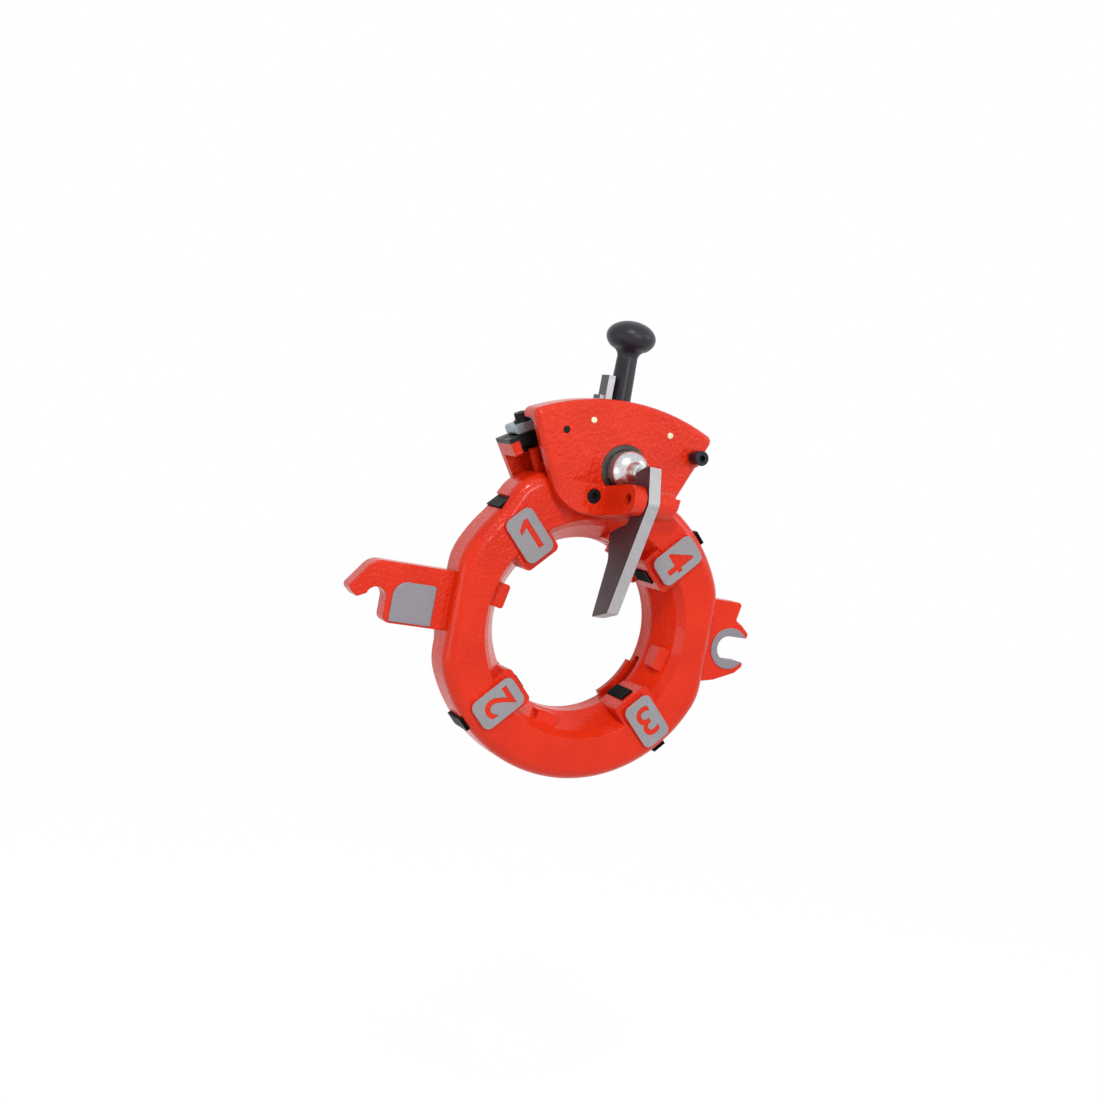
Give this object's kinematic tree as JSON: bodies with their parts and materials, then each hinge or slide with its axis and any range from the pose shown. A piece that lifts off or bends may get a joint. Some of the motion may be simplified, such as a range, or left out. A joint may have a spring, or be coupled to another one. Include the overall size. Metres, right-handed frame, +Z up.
{
  "type": "pipe threading die head",
  "caption": "Self-opening die head for cutting pipe threads: radial dies in a cast ring with a hook arm, a pivot arm, a throwout handle and a trigger lever in front of the throat.",
  "frame": {"origin": "on the pipe axis, in the plane of the machined number pads at the front", "axes": "+X along the arms towards the pivot socket, +Z up through the handle, -Y out of the front, so the pipe axis is Y"},
  "size_m": [0.3086, 0.1018, 0.3243],
  "materials": {
    "red_paint": "glossy paint over a cast skin",
    "cam_steel": "ground steel",
    "die_steel": "black oxide",
    "zinc_steel": "bright zinc",
    "lever_steel": "drawn steel, bare edges",
    "bush_steel": "dark turned steel",
    "black_steel": "black oxide",
    "rivet_metal": "pale yellow passivated",
    "block_steel": "zinc, slightly dull",
    "grip_plastic": "moulded, satin"
  },
  "bodies": {
    "head": {"head_body": "red_paint", "retaining_ring": "red_paint", "retaining_screws": "black_steel", "front_cover": "red_paint", "cover_screws": "black_steel", "cover_cap_screw": "black_steel", "cover_dowel": "black_steel", "cover_rivets": "rivet_metal", "trigger_bush": "bush_steel", "trigger_spring": "zinc_steel", "size_bar": "black_steel", "size_bar_screws": "black_steel", "lever_pin": "black_steel"},
    "cam": {"cam_plate": "cam_steel", "throwout_arm": "lever_steel", "arm_bolts": "black_steel", "hand_grip": "grip_plastic", "pawl_pin": "zinc_steel", "pawl_spring": "zinc_steel"},
    "die_1": {"die_1": "die_steel"},
    "die_2": {"die_2": "die_steel"},
    "die_3": {"die_3": "die_steel"},
    "die_4": {"die_4": "die_steel"},
    "trigger": {"trigger_lever": "lever_steel"},
    "plunger": {"trigger_plunger": "zinc_steel", "plunger_nut": "zinc_steel"},
    "pawl": {"release_pawl": "zinc_steel"},
    "stop": {"stop_block": "block_steel", "stop_clamp_screw": "black_steel", "stop_nut": "black_steel"}
  },
  "joints": [
    {"name": "handle_swing", "type": "hinge", "parent": "head", "child": "cam", "pos_m": [0, 0, 0], "axis": [0, 1, 0], "range_deg": [-14, 10]},
    {"name": "die_1_slide", "type": "slide", "parent": "head", "child": "die_1", "axis": [-0.7071, 0, 0.7071], "range_m": [-0.0055, 0.004]},
    {"name": "die_2_slide", "type": "slide", "parent": "head", "child": "die_2", "axis": [-0.7071, 0, -0.7071], "range_m": [-0.0055, 0.004]},
    {"name": "die_3_slide", "type": "slide", "parent": "head", "child": "die_3", "axis": [0.7071, 0, -0.7071], "range_m": [-0.0055, 0.004]},
    {"name": "die_4_slide", "type": "slide", "parent": "head", "child": "die_4", "axis": [0.7071, 0, 0.7071], "range_m": [-0.0055, 0.004]},
    {"name": "trigger_swing", "type": "hinge", "parent": "head", "child": "trigger", "pos_m": [0, -0.046, 0.0945], "axis": [-1, 0, 0], "range_deg": [0, 12], "stiffness_Nm_per_rad": 0.6, "springref_deg": -17.19},
    {"name": "plunger_slide", "type": "slide", "parent": "head", "child": "plunger", "axis": [0, 1, 0], "range_m": [0, 0.0036], "deforming": ["trigger_spring"]},
    {"name": "pawl_swing", "type": "hinge", "parent": "cam", "child": "pawl", "pos_m": [-0.0105, 0.0275, 0.15], "axis": [1, 0, 0], "range_deg": [0, 6.5], "deforming": ["pawl_spring"]},
    {"name": "stop_slide", "type": "hinge", "parent": "head", "child": "stop", "pos_m": [0, 0, 0], "axis": [0, 1, 0], "range_deg": [-1, 2]}
  ],
  "couplings": [
    {"joint": "die_1_slide", "follows": "handle_swing", "m_per_rad": 0.022},
    {"joint": "die_2_slide", "follows": "handle_swing", "m_per_rad": 0.022},
    {"joint": "die_3_slide", "follows": "handle_swing", "m_per_rad": 0.022},
    {"joint": "die_4_slide", "follows": "handle_swing", "m_per_rad": 0.022},
    {"joint": "plunger_slide", "follows": "trigger_swing", "m_per_rad": 0.017},
    {"joint": "pawl_swing", "follows": "trigger_swing", "ratio": 0.53}
  ]
}
